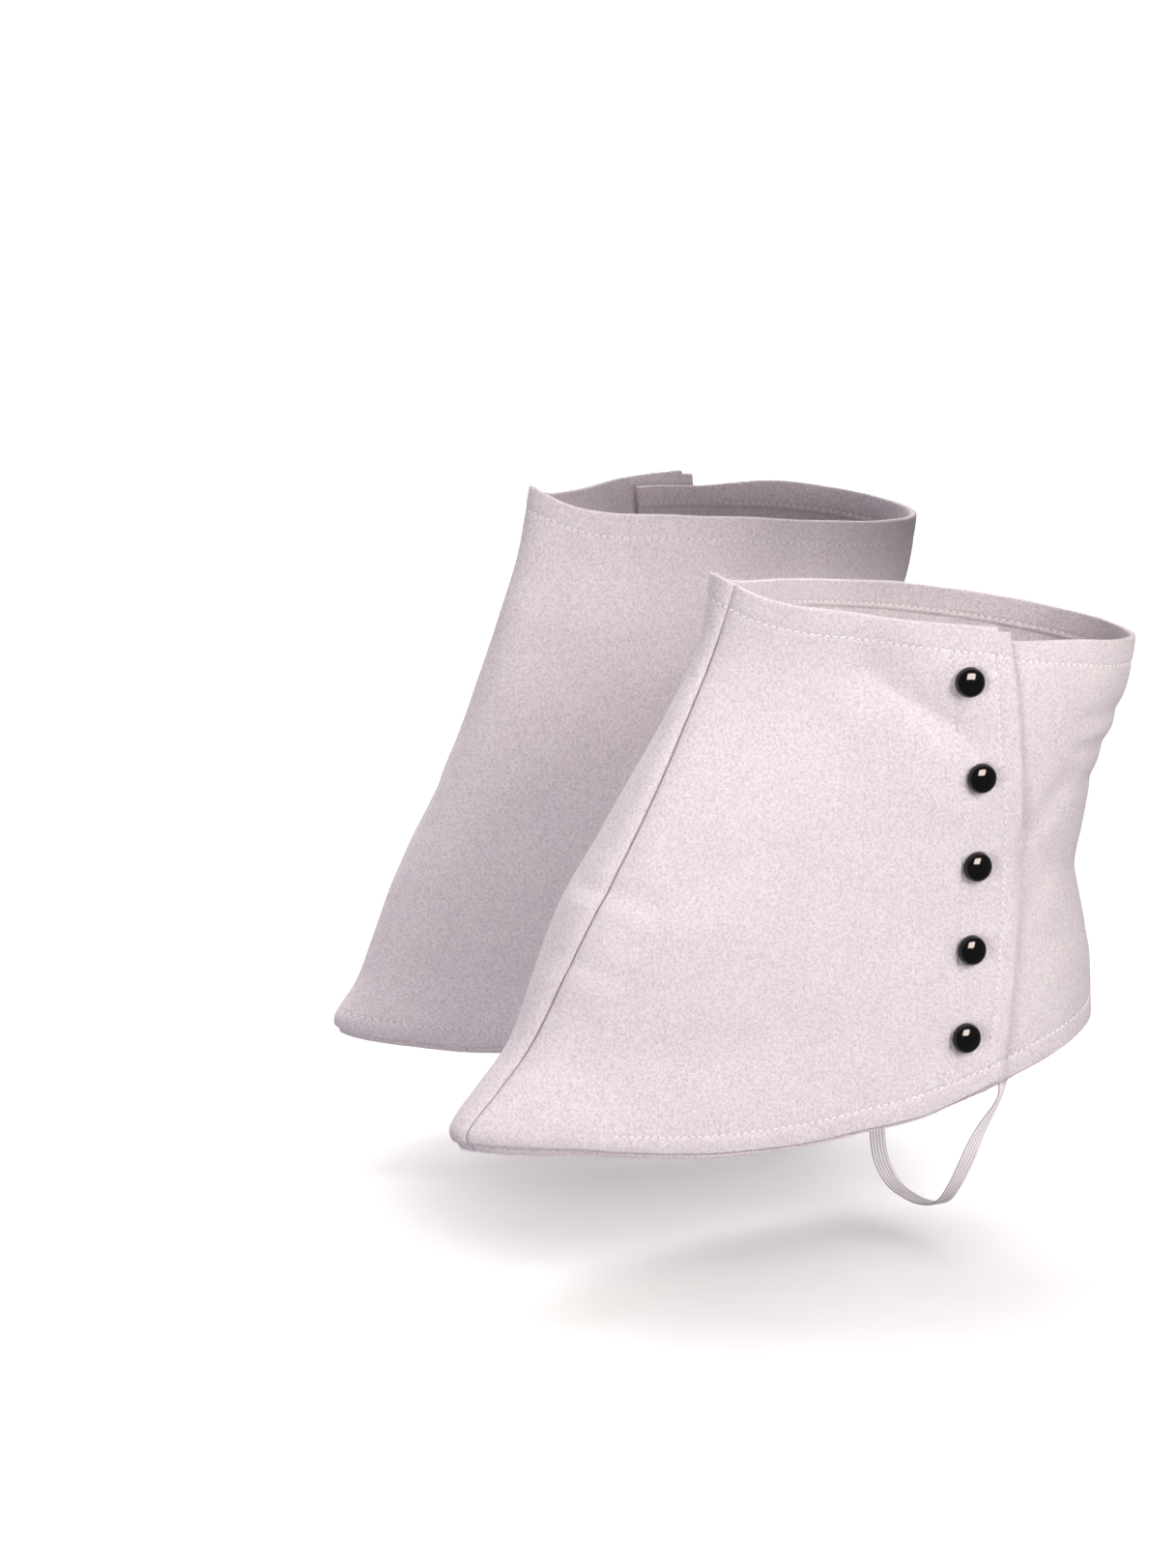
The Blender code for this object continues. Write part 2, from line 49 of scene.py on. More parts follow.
# A row of rings for each section from the hem up to the top edge: front, its height, back, its height,
# half width, nose radius, heel radius, side drop, front drop, where the flap's rear edge crosses.
# folds: side, from forward and height, to forward and height, width, depth in (a ridge is below 0).
# secondLayer: forward, how far the turned layer shows below the outer one at the hem.
# hemSewnTo: how far forward the hem's stitches show on the outer face.
# hemShift: forward, how far the felt's edge strays up from the hem line.
spats = [
    {
        "name": "left", "side": 1, "centre": 0.0, "strapForward": 39.0,
        "rings": np.array([
            (233.5, 62.0, -13.5, 81.0, 43.0, 6.5, 30.0, 14.2, -3.2, 44.5),
            (236.5, 69.0, -13.3, 88.0, 43.0, 7.0, 30.0, 13.0, -2.0, 44.0),
            (226.0, 82.0, -12.8, 98.0, 42.5, 7.5, 30.0, 11.0, 0.0, 42.0),
            (213.0, 98.0, -11.7, 111.0, 42.0, 8.0, 29.0, 9.0, 0.0, 39.5),
            (203.5, 121.0, -8.6, 126.0, 41.0, 11.5, 28.0, 6.5, 0.0, 37.0),
            (193.0, 144.0, -8.0, 144.0, 40.0, 14.0, 28.0, 4.0, 0.0, 35.5),
            (178.0, 167.0, -10.0, 160.0, 39.5, 12.5, 29.0, 2.0, 0.0, 35.0),
            (166.0, 186.0, -13.0, 174.0, 39.5, 10.5, 31.0, 1.0, 0.0, 36.0),
            (153.5, 206.0, -19.0, 188.0, 39.5, 7.5, 33.0, 0.5, 0.5, 37.5),
            (141.0, 230.0, -25.0, 203.0, 40.0, 5.8, 35.0, 0.5, 2.0, 39.5),
            (136.0, 256.0, -28.0, 219.0, 40.0, 10.0, 36.0, 1.0, 4.2, 42.0),
        ]),
        "folds": [
            (1, 92, 224, 55, 196, 10, 1.5), (1, 96, 205, 66, 176, 12, -1.0),
            (1, 178, 140, 150, 158, 9, 1.1), (1, 30, 150, -4, 138, 11, 1.3),
            (-1, 150, 150, 96, 176, 11, 1.4), (-1, 60, 200, 18, 168, 12, 1.3),
            (-1, 36, 120, -2, 134, 10, 1.2),
        ],
        "creases": [
            (1, 90, 222, 76, 211, 3.4, 0.7), (1, 76, 211, 63, 202, 3.0, 1.2), (1, 63, 202, 53, 190, 3.0, 0.9),
            (1, 84, 208, 68, 196, 5.0, -0.6), (1, 108, 208, 92, 198, 6.0, 0.35),
            (1, 190, 152, 170, 148, 3.0, 0.7), (1, 192, 146, 174, 140, 3.5, -0.5),
            (1, 200, 128, 180, 120, 3.0, 0.6), (1, 204, 112, 190, 106, 3.0, 0.4),
            (1, 31, 157, 14, 175, 5.0, 0.8), (1, 24, 152, 8, 166, 5.0, -0.4),
            (1, 16, 120, -6, 112, 5.0, 0.7), (1, 10, 198, -22, 194, 3.0, 0.8), (1, 4, 190, -20, 188, 3.4, -0.4),
            (1, 8, 186, -18, 182, 3.0, 0.7), (1, 2, 177, -16, 175, 3.4, -0.3), (1, 6, 172, -16, 169, 3.0, 0.6),
            (1, 20, 140, -10, 137, 6.0, 0.5),
            (1, 150, 92, 118, 100, 10.0, 0.5), (1, 172, 118, 140, 122, 9.0, 0.4), (1, 130, 150, 100, 146, 11.0, 0.45),
            (-1, 148, 134, 120, 150, 5.0, 0.5), (-1, 72, 214, 44, 196, 4.5, 0.45),
            (-1, 40, 150, 8, 146, 4.5, 0.45), (-1, 190, 96, 168, 108, 5.0, 0.4),
        ],
        "buttons": [(57.5, 218.0), (53.5, 183.5), (54.7, 151.5), (57.2, 121.5), (60.3, 90.6)],
        "secondLayer": [(-20, 0.5), (60, 0.6), (120, 1.1), (170, 2.0), (210, 2.8), (240, 2.9)],
        "hemSewnTo": 190.0,
        "hemShift": [(-20, 0.0), (195, 0.0), (210, -1.8), (221, -2.4), (236, -1.2)],
    },
    {
        "name": "right", "side": -1, "centre": -foot["pairSpacing"], "strapForward": 35.0,
        "rings": np.array([
            (205.5, 53.0, -16.0, 74.0, 43.0, 7.0, 30.0, 15.0, 0.0, 40.5),
            (206.5, 59.0, -16.0, 81.0, 43.0, 7.5, 30.0, 13.5, 0.0, 40.0),
            (197.5, 71.0, -16.0, 92.0, 42.5, 8.0, 30.0, 11.5, 0.0, 38.0),
            (190.5, 88.0, -15.0, 105.0, 42.0, 8.5, 29.0, 9.0, 0.0, 36.0),
            (181.5, 109.0, -12.0, 122.0, 41.0, 9.5, 28.0, 6.5, 0.0, 34.0),
            (169.5, 132.0, -11.0, 140.0, 40.0, 11.0, 28.0, 4.0, 0.0, 32.5),
            (156.5, 157.0, -13.0, 158.0, 39.5, 11.0, 29.0, 2.0, 0.0, 32.0),
            (147.5, 180.0, -16.0, 174.0, 39.5, 9.5, 31.0, 1.0, 0.0, 33.0),
            (139.5, 202.0, -21.0, 190.0, 39.5, 7.5, 33.0, 0.5, 0.5, 34.5),
            (131.5, 226.0, -27.0, 208.0, 40.0, 6.0, 35.0, 0.5, 2.0, 36.5),
            (126.5, 251.0, -30.0, 228.0, 40.0, 8.0, 36.0, 0.5, 5.0, 39.0),
        ]),
        "folds": [
            (-1, 128, 190, 96, 160, 12, 1.2), (-1, 150, 128, 112, 146, 11, 1.1),
            (-1, 34, 124, -4, 140, 11, 1.3), (1, 96, 226, 62, 200, 11, 1.4),
            (1, 160, 132, 126, 152, 10, 1.2), (1, 28, 146, -6, 136, 11, 1.2),
        ],
        "creases": [
            (-1, 120, 176, 98, 162, 5.0, 0.35), (-1, 30, 164, 4, 152, 5.0, 0.45),
            (1, 92, 230, 62, 205, 4.5, 0.5), (1, 80, 212, 64, 198, 4.0, -0.35),
            (1, 168, 142, 150, 138, 3.5, 0.35), (1, 176, 112, 160, 106, 3.5, 0.3),
            (1, 20, 170, 0, 150, 5.0, 0.5), (1, 140, 88, 110, 94, 8.0, 0.35),
        ],
        "buttons": [(54.0, 220.5), (50.5, 186.0), (51.0, 152.5), (53.0, 119.5), (56.5, 86.5)],
        "secondLayer": [(-20, 1.2), (60, 1.5), (140, 2.0), (210, 2.1)],
        "hemSewnTo": 240.0,
        "hemShift": [(-20, -1.1), (150, -1.5), (240, -1.5)],
    },
]


# Form of the felt, shared by all that lies on it

def splineAt(rows, level):  # the smooth curve through a table's rows, at levels from 0 to 1
    place = np.clip(np.asarray(level, float), 0.0, 1.0) * (len(rows) - 1)
    index = np.minimum(place.astype(int), len(rows) - 2)
    part = (place - index)[..., None]
    before, start = rows[np.maximum(index - 1, 0)], rows[index]
    end, after = rows[index + 1], rows[np.minimum(index + 2, len(rows) - 1)]
    slopeIn, slopeOut = (end - before) / 2, (after - start) / 2
    cubic = 2 * start - 2 * end + slopeIn + slopeOut
    square = 3 * end - 3 * start - 2 * slopeIn - slopeOut
    return ((cubic * part + square) * part + slopeIn) * part + start


innerFullness = 0.95  # the inner side is a little flatter than the buttoned one


def eggPoint(ring, angle):  # angle 0 is the heel, pi the front, positive the buttoned side
    front, frontHeight, back, backHeight, half, nose, heel, sideDrop, frontDrop, _ = np.moveaxis(ring, -1, 0)
    length = front - back
    share = (1 - np.cos(angle)) / 2
    heelPart, nosePart = 2 * length * heel, 2 * length * nose
    waist = 4 * (4 * half ** 2 - (heelPart + nosePart) / 2)
    breadth = np.sqrt(heelPart + (nosePart - heelPart) * share + waist * share * (1 - share))
    across = np.sin(angle) / 2 * breadth
    across = np.where(across < 0, across * innerFullness, across)
    height = backHeight + (frontHeight - backHeight) * share
    height = height - sideDrop * np.sin(math.pi * share ** 1.3) - frontDrop * np.sin(math.pi * share ** 5.4)
    return np.stack((back + length * share, across, height), axis=-1)


def eggAngle(ring, forward):  # where the buttoned side lies this far forward
    share = (forward - ring[..., 2]) / (ring[..., 0] - ring[..., 2])
    return np.arccos(np.clip(1 - 2 * share, -1, 1))


def seamAngle(ring):
    return math.pi - 1.8 * np.sqrt(ring[..., 5] / (2 * (ring[..., 0] - ring[..., 2])))


def unit(vectors):
    return vectors / np.linalg.norm(vectors, axis=-1, keepdims=True)


def outwards(spat, level, angle, step=0.004):
    rings = spat["rings"]
    rise = eggPoint(splineAt(rings, np.minimum(level + step, 1)), angle)
    rise = rise - eggPoint(splineAt(rings, np.maximum(level - step, 0)), angle)
    ring = splineAt(rings, level)
    onward = eggPoint(ring, angle + step) - eggPoint(ring, angle - step)
    return unit(np.cross(rise, onward))


def pressedIn(spat, point):  # how deep folds, creases and buttons press the felt in
    depth = np.zeros(point.shape[:-1])
    here = point[..., [0, 2]]
    for side, fromForward, fromHeight, toForward, toHeight, width, amount in spat["folds"] + spat["creases"]:
        start = np.array((fromForward, fromHeight), float)
        line = np.array((toForward, toHeight), float) - start
        along = np.clip((here - start) @ line / (line @ line), 0, 1)
        away = np.linalg.norm(here - start - along[..., None] * line, axis=-1) / width
        depth += np.where(side * point[..., 1] >= 0, amount * np.exp(-away ** 2), 0)
    for forward, height in spat["buttons"]:
        away = np.hypot(here[..., 0] - forward, here[..., 1] - height) / buttonLook["dimpleWidth"]
        depth += np.where(point[..., 1] > 0, buttonLook["dimple"] * np.exp(-away ** 2), 0)
    return depth


def unevenness(spat, point, size, salt):  # smooth random waves, from -1 to 1, as wide as size in mm
    flat = point.reshape(-1, 3)
    shift = Vector((spat["centre"] + salt * 31.7, salt * 7.3, 0.0))
    waves = [noise.noise(Vector(p) / size + shift) for p in flat]
    return np.array(waves).reshape(point.shape[:-1])


def smoothStep(value):
    value = np.clip(value, 0, 1)
    return value * value * (3 - 2 * value)


def placed(spat, point):  # from the foot's mm into the frame's metres
    return np.stack((
        spat["centre"] + spat["side"] * point[..., 1],
        foot["ankleForward"] - point[..., 0],
        point[..., 2] - foot["ankleHeight"]), axis=-1) * mm


def levelAtHeight(spat, forward, height):
    low, high = 0.0, 1.0
    for _ in range(30):
        middle = (low + high) / 2
        ring = splineAt(spat["rings"], middle)
        if eggPoint(ring, eggAngle(ring, forward))[2] < height:
            low = middle
        else:
            high = middle
    return (low + high) / 2


# Materials

def colour(hexCode):  # an sRGB hex value as the linear colour that the nodes want
    parts = [int(hexCode[i:i + 2], 16) / 255 for i in (1, 3, 5)]
    return tuple(p / 12.92 if p <= 0.04045 else ((p + 0.055) / 1.055) ** 2.4 for p in parts) + (1.0,)


def addNode(tree, kind, settings=(), links=()):
    node = tree.nodes.new(kind)
    for name, value in dict(settings).items():
        if isinstance(name, int) or name in node.inputs:
            node.inputs[name].default_value = value
        else:
            setattr(node, name, value)
    for name, output in dict(links).items():
        tree.links.new(output, node.inputs[name])
    return node


def newMaterial(name):
    material = bpy.data.materials.new(name)
    material.use_nodes = True
    tree = material.node_tree
    return material, tree, tree.nodes["Principled BSDF"]


feltLook = {
    # the third colour is painted shade: the darker tone given to the low gaps between the tufts
    "light": "#EEE6E9", "dark": "#EBE2E6", "gapShade": "#B4A6AF",
    "cloud": 14.0,      # mm, width of the faint clouds where the wool is thicker
    "tuft": 0.95,       # mm, size of the tangled tufts; wool fibres are 0.02 mm, drawn coarser to show
    "gapShadeDepth": 0.55,  # how far the painted shade in a gap between tufts darkens the colour
    "fibre": 0.16,      # mm, thickness of a fibre as drawn
    "fibreLength": 1.6,
}


# Wool felt: fibres matted by steam and pressure, so it has no weave, scatters light evenly, has a
# faint halo of loose nap where it is seen at a slant, and is cloudy where it matted unevenly
def makeFelt():
    look = feltLook
    material, tree, shader = newMaterial("matted_wool_felt")
    place = addNode(tree, "ShaderNodeTexCoord").outputs["Object"]
    cloud = addNode(tree, "ShaderNodeTexNoise", {"Scale": 1 / (look["cloud"] * mm), "Detail": 2.0},
                    {"Vector": place})
    tuft = addNode(tree, "ShaderNodeTexNoise", {"Scale": 1 / (look["tuft"] * mm), "Detail": 3.0,
                                                "Roughness": 0.7}, {"Vector": place})
    fibres = None
    for turn in ((0.3, 0.9, 0.2), (1.4, 0.2, 1.1), (2.3, 1.7, 0.6)):  # three lays of fibre, crossing
        turned = addNode(tree, "ShaderNodeMapping", {
            "Rotation": turn,
            "Scale": (1 / (look["fibre"] * mm), 1 / (look["fibreLength"] * mm), 1 / (look["fibre"] * mm))},
            {"Vector": place})
        lay = addNode(tree, "ShaderNodeTexNoise", {"Scale": 1.0, "Detail": 1.0, "Distortion": 0.4},
                      {"Vector": turned.outputs[0]})
        if fibres is None:
            fibres = lay.outputs[0]
        else:
            fibres = addNode(tree, "ShaderNodeMath", {"operation": "MAXIMUM"},
                             {0: fibres, 1: lay.outputs[0]}).outputs[0]
    thick = addNode(tree, "ShaderNodeMapRange", {1: 0.36, 2: 0.64}, {0: cloud.outputs[0]})
    tinted = addNode(tree, "ShaderNodeMix", {"data_type": "RGBA", 6: colour(look["dark"]), 7: colour(look["light"])},
                     {0: thick.outputs[0]})
    # painted shade: the colour goes darker where the tuft noise, which also lowers the bump, is low
    gap = addNode(tree, "ShaderNodeMapRange", {1: 0.34, 2: 0.60, 3: look["gapShadeDepth"], 4: 0.0},
                  {0: tuft.outputs[0]})
    gapShaded = addNode(tree, "ShaderNodeMix", {"data_type": "RGBA", 7: colour(look["gapShade"])},
                      {0: gap.outputs[0], 6: tinted.outputs[2]})
    height = addNode(tree, "ShaderNodeMath", {"operation": "ADD"}, {0: fibres, 1: tuft.outputs[0]})
    bump = addNode(tree, "ShaderNodeBump", {"Strength": 0.8, "Distance": 0.4 * mm},
                   {"Height": height.outputs[0]})
    tree.links.new(gapShaded.outputs[2], shader.inputs["Base Color"])
    tree.links.new(bump.outputs[0], shader.inputs["Normal"])
    shader.inputs["Roughness"].default_value = 0.95
    shader.inputs["Specular IOR Level"].default_value = 0.05
    shader.inputs["Sheen Weight"].default_value = 0.35
    shader.inputs["Sheen Roughness"].default_value = 0.5
    shader.inputs["Sheen Tint"].default_value = colour("#FFF6FA")
    return material


# The felt's raised nap: loose fibre ends, paler than the mat because light passes through them
def makeNap():
    material, tree, shader = newMaterial("loose_wool_nap")
    place = addNode(tree, "ShaderNodeTexCoord").outputs["Object"]
    strand = addNode(tree, "ShaderNodeTexNoise", {"Scale": 1 / (1.5 * mm), "Detail": 1.0}, {"Vector": place})
    tint = addNode(tree, "ShaderNodeMix", {"data_type": "RGBA", 6: colour("#E6DCE0"), 7: colour("#F6EFF1")},
                   {0: strand.outputs[0]})
    tree.links.new(tint.outputs[2], shader.inputs["Base Color"])
    shader.inputs["Roughness"].default_value = 0.8
    shader.inputs["Sheen Weight"].default_value = 0.3
    return material


# Polyester sewing thread: two plies twisted, a little brighter than the felt and faintly shiny
def makeThread():
    material, tree, shader = newMaterial("spun_polyester_thread")
    place = addNode(tree, "ShaderNodeTexCoord").outputs["Object"]
    ply = addNode(tree, "ShaderNodeTexNoise", {"Scale": 1 / (0.25 * mm), "Detail": 1.0}, {"Vector": place})
    tint = addNode(tree, "ShaderNodeMix", {"data_type": "RGBA", 6: colour("#EEE7EA"), 7: colour("#FBF7F8")},
                   {0: ply.outputs[0]})
    tree.links.new(tint.outputs[2], shader.inputs["Base Color"])
    shader.inputs["Roughness"].default_value = 0.55
    shader.inputs["Sheen Weight"].default_value = 0.2
    return material


# The pit that a needle leaves: painted shade, a dark felt colour on a small disc that stands for the shadow in the pit
def makePitShadeMaterial():
    material, tree, shader = newMaterial("needle_pit_painted_shade")
    place = addNode(tree, "ShaderNodeTexCoord").outputs["Object"]
    grain = addNode(tree, "ShaderNodeTexNoise", {"Scale": 1 / (0.3 * mm)}, {"Vector": place})
    tint = addNode(tree, "ShaderNodeMix", {"data_type": "RGBA", 6: colour("#9C8D96"), 7: colour("#C3B5BD")},
                   {0: grain.outputs[0]})
    tree.links.new(tint.outputs[2], shader.inputs["Base Color"])
    shader.inputs["Roughness"].default_value = 1.0
    return material


# Cast polyester button, tumbled to a high polish: a hard clear gloss over black
def makePolish():
    material, tree, shader = newMaterial("polished_black_polyester")
    place = addNode(tree, "ShaderNodeTexCoord").outputs["Object"]
    smear = addNode(tree, "ShaderNodeTexNoise", {"Scale": 1 / (2.5 * mm), "Detail": 3.0}, {"Vector": place})
    gloss = addNode(tree, "ShaderNodeMapRange", {1: 0.3, 2: 0.7, 3: 0.05, 4: 0.12}, {0: smear.outputs[0]})
    tint = addNode(tree, "ShaderNodeMix", {"data_type": "RGBA", 6: colour("#060506"), 7: colour("#0E0C0D")},
                   {0: smear.outputs[0]})
    tree.links.new(tint.outputs[2], shader.inputs["Base Color"])
    tree.links.new(gloss.outputs[0], shader.inputs["Roughness"])
    shader.inputs["IOR"].default_value = 1.56
    shader.inputs["Specular IOR Level"].default_value = 0.3
    return material


# Braided elastic: rubber cores wrapped in white yarn, laced across by a fine weft
def makeElastic():
    material, tree, shader = newMaterial("braided_white_elastic")
    along = addNode(tree, "ShaderNodeUVMap", {"uv_map": "UVMap"}).outputs[0]
    weft = addNode(tree, "ShaderNodeTexWave", {"Scale": 0.314 / (0.7 * mm), "bands_direction": "X",
                                               "Distortion": 0.3}, {"Vector": along})
    place = addNode(tree, "ShaderNodeTexCoord").outputs["Object"]
    yarn = addNode(tree, "ShaderNodeTexNoise", {"Scale": 1 / (0.3 * mm), "Detail": 2.0}, {"Vector": place})
    cords = addNode(tree, "ShaderNodeTexWave", {"Scale": 0.314 / (1.2 * mm), "bands_direction": "Y", "Distortion": 0.1},
                    {"Vector": along})  # one band for each cord; painted shade darkens the grooves between them
    groove = addNode(tree, "ShaderNodeMapRange", {1: 0.0, 2: 0.55, 3: 0.95, 4: 0.0}, {0: cords.outputs[1]})
    tint = addNode(tree, "ShaderNodeMix", {"data_type": "RGBA", 6: colour("#EDE6EB"), 7: colour("#FBF9FB")},
                   {0: yarn.outputs[0]})
    # painted shade: the grooves between the cords are mixed towards a darker tone
    grooveShaded = addNode(tree, "ShaderNodeMix", {"data_type": "RGBA", 7: colour("#B9A9B4")},
                    {0: groove.outputs[0], 6: tint.outputs[2]})
    height = addNode(tree, "ShaderNodeMath", {"operation": "ADD"}, {0: weft.outputs[1], 1: yarn.outputs[0]})
    bump = addNode(tree, "ShaderNodeBump", {"Strength": 0.15, "Distance": 0.05 * mm},
                   {"Height": height.outputs[0]})
    tree.links.new(grooveShaded.outputs[2], shader.inputs["Base Color"])
    tree.links.new(bump.outputs[0], shader.inputs["Normal"])
    shader.inputs["Roughness"].default_value = 0.7
    shader.inputs["Sheen Weight"].default_value = 0.2
    return material


# Tools for the pieces

def deselect():
    if bpy.context.mode != "OBJECT":
        bpy.ops.object.mode_set(mode="OBJECT")
    bpy.ops.object.select_all(action="DESELECT")


def setPoints(piece, points):
    piece.data.vertices.foreach_set("co", np.ascontiguousarray(points, np.float32).ravel())
    piece.data.update()


def finishPiece(piece, name, material, slot, *nodes):
    piece.name = piece.data.name = name
    piece.data.materials.clear()
    piece.data.materials.append(material)
    for face in piece.data.polygons:
        face.use_smooth = True
    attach(piece, "root")
    if nodes:
        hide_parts(*nodes)
    return piece


# An open grid is laid on the outside points, thickened, and its inner layer laid on the inside points
def clothShell(outside, inside, mirrored, thickness):
    rows, columns = outside.shape[:2]
    deselect()
    bpy.ops.mesh.primitive_grid_add(x_subdivisions=columns - 1, y_subdivisions=rows - 1, size=2)
    cloth = bpy.context.object
    flat = np.zeros(len(cloth.data.vertices) * 3, np.float32)
    cloth.data.vertices.foreach_get("co", flat)
    flat = flat.reshape(-1, 3)
    column = np.rint((flat[:, 0] + 1) / 2 * (columns - 1)).astype(int)
    row = np.rint((flat[:, 1] + 1) / 2 * (rows - 1)).astype(int)
    setPoints(cloth, outside[row, column])
    if mirrored:
        bpy.ops.object.mode_set(mode="EDIT")
        bpy.ops.mesh.select_all(action="SELECT")
        bpy.ops.mesh.flip_normals()
        bpy.ops.object.mode_set(mode="OBJECT")
    wall = cloth.modifiers.new("wall", "SOLIDIFY")
    wall.thickness = thickness * mm
    wall.offset = -1.0
    bpy.ops.object.modifier_apply(modifier="wall")
    setPoints(cloth, np.concatenate((outside[row, column], inside[row, column])))
    return cloth


def tiled(name, basePoints, baseFaces, spots):  # one small shape repeated, as one joined mesh
    count = len(basePoints)
    points = np.concatenate([spot[0] + basePoints @ spot[1] for spot in spots])
    faces = [tuple(v + n * count for v in face) for n in range(len(spots)) for face in baseFaces]
    mesh = bpy.data.meshes.new(name)
    mesh.from_pydata(points.tolist(), [], faces)
    piece = bpy.data.objects.new(name, mesh)
    bpy.context.scene.collection.objects.link(piece)
    return piece


# Felt panels

panelShape = {
    "wall": 1.5, "flapWall": 2.0, "layerGap": 0.3, "cadWall": 2.0,   # mm
    "underlap": 28.0, "liftRun": 26.0, "liftMargin": 3.0, "seamGap": 0.3,
    "edgeRound": 0.8, "flapRound": 0.45, "seamRound": 1.3, "seamValley": 0.5, "seamValleyWidth": 2.4,
    "seamSize": 34.0, "seamFade": 0.7, "seamFadeRun": 26.0,
    "hem": 9.0, "puff": 0.12, "groove": 0.24, "grooveWidth": 0.75,
    "turnIn": 10.8, "turnInThick": 0.85, "allowance": 7.0,
    "placketLines": (7.5, 24.0),
    "waves": 0.24, "waveSize": 27.0, "ripples": 0.09, "rippleSize": 8.0,
    "edgeWander": 0.55, "edgeWanderSize": 24.0,
    "notch": 4.8, "notchDrop": 1.4,           # the step in the top edge by the flap's rear corner
    "flapTopRise": 1.7, "flapTopRun": 45.0,
    "underlapDrop": 3.3, "underlapRun": 40.0,  # the underlap's top edge starts lower than the flap's
    "flapHemRise": 3.0, "flapHemRun": 28.0, "underlapHemDrop": 0.8,  # and its hem shows under the flap's
    "middleStep": 2.1,
}
edgeStops = np.array((0.0, 0.04, 0.14, 0.3, 0.52, 0.8, 1.15, 1.6, 2.1, 2.7, 3.6, 5.0, 6.5))
lineStops = np.array((7.6, 8.2, 8.6, 9.0, 9.4, 9.8, 10.4, 11.0, 11.8, 13.2))
hemStops = np.concatenate((edgeStops[:5], np.arange(0.75, 3.3, 0.25), (3.8, 5.0, 6.4), lineStops))


def roundOver(away, radius):  # how far a rounded edge has dropped, this far in from the edge
    inside = np.clip(radius - away, 0, radius)
    return radius - np.sqrt(radius ** 2 - inside ** 2)


def bandStep(away, width, soft=0.35):  # 1 inside a band, 0 past it
    return 1 - smoothStep((away - width) / soft + 0.5)


# The grid of a panel: fine by its edges and along its stitch lines, about 2 mm elsewhere.
# start and end give the edge's angle at each level.
def panelGrid(spat, start, end, startStops, endStops):
    levels = np.linspace(0, 1, 121)
    rings = splineAt(spat["rings"], levels)
    walk = np.linspace(0, 1, 500)
    angles = start(rings)[:, None] + (end(rings) - start(rings))[:, None] * walk
    points = eggPoint(rings[:, None, :], angles)
    onward = np.diff(points, axis=1)
    lengths = np.linalg.norm(onward, axis=-1)
    heading = onward / lengths[..., None]
    turns = np.arccos(np.clip(np.sum(heading[:, 1:] * heading[:, :-1], axis=-1), -1, 1))
    turns = np.concatenate((np.zeros((len(levels), 1)), turns), axis=1)
    far = np.concatenate((np.zeros((len(levels), 1)), np.cumsum(lengths, axis=1)), axis=1)
    cost = np.concatenate((np.zeros((len(levels), 1)), np.cumsum(lengths + 12 * turns, axis=1)), axis=1)
    middle = int(cost[:, -1].mean() / panelShape["middleStep"] / 1.25)
    columnAngles, fromStart, fromEnd = [], [], []
    for k in range(len(levels)):
        total = far[k, -1]
        first = np.interp(startStops, far[k], angles[k])
        last = np.interp(total - endStops[::-1], far[k], angles[k])
        costAt = np.interp((startStops[-1], total - endStops[-1]), far[k], cost[k])
        between = np.interp(np.linspace(*costAt, middle + 2)[1:-1], cost[k], angles[k])
        row = np.concatenate((first, between, last))
        columnAngles.append(row)
        away = np.interp(row, angles[k], far[k]) if angles[k, 0] < angles[k, -1] else \
            np.interp(-row, -angles[k], far[k])
        fromStart.append(away)
        fromEnd.append(total - away)
    columnAngles, fromStart, fromEnd = map(np.array, (columnAngles, fromStart, fromEnd))
    columns = columnAngles.shape[1]
    rise = eggPoint(rings[:, None, :], columnAngles)
    tall = np.concatenate((np.zeros((1, columns)), np.cumsum(
        np.linalg.norm(np.diff(rise, axis=0), axis=-1), axis=0)))
    topStops = np.concatenate((edgeStops, lineStops))
    count = int((tall[-1].mean() - 30) / panelShape["middleStep"])
    grid = {key: [] for key in ("level", "angle", "fromHem", "fromTop", "fromStart", "fromEnd")}
    for j in range(columns):
        total = tall[-1, j]
        between = np.linspace(hemStops[-1], total - topStops[-1], count + 2)[1:-1]
        away = np.concatenate((hemStops, between, total - topStops[::-1]))
        level = np.interp(away, tall[:, j], levels)
        grid["level"].append(level)
        grid["angle"].append(np.interp(level, levels, columnAngles[:, j]))
        grid["fromStart"].append(np.interp(level, levels, fromStart[:, j]))
        grid["fromEnd"].append(np.interp(level, levels, fromEnd[:, j]))
        grid["fromHem"].append(away)
        grid["fromTop"].append(total - away)
    return {key: np.array(value).T for key, value in grid.items()}


def flapLift(spat, grid, point):  # the flap rises over the underlap that it is buttoned to
    ring = splineAt(spat["rings"], grid["level"])
    risen = ring[..., 9] + panelShape["underlap"] + panelShape["liftMargin"]
    near = smoothStep((risen + panelShape["liftRun"] - point[..., 0]) / panelShape["liftRun"])
    return (panelShape["cadWall"] + panelShape["layerGap"]) * near, near


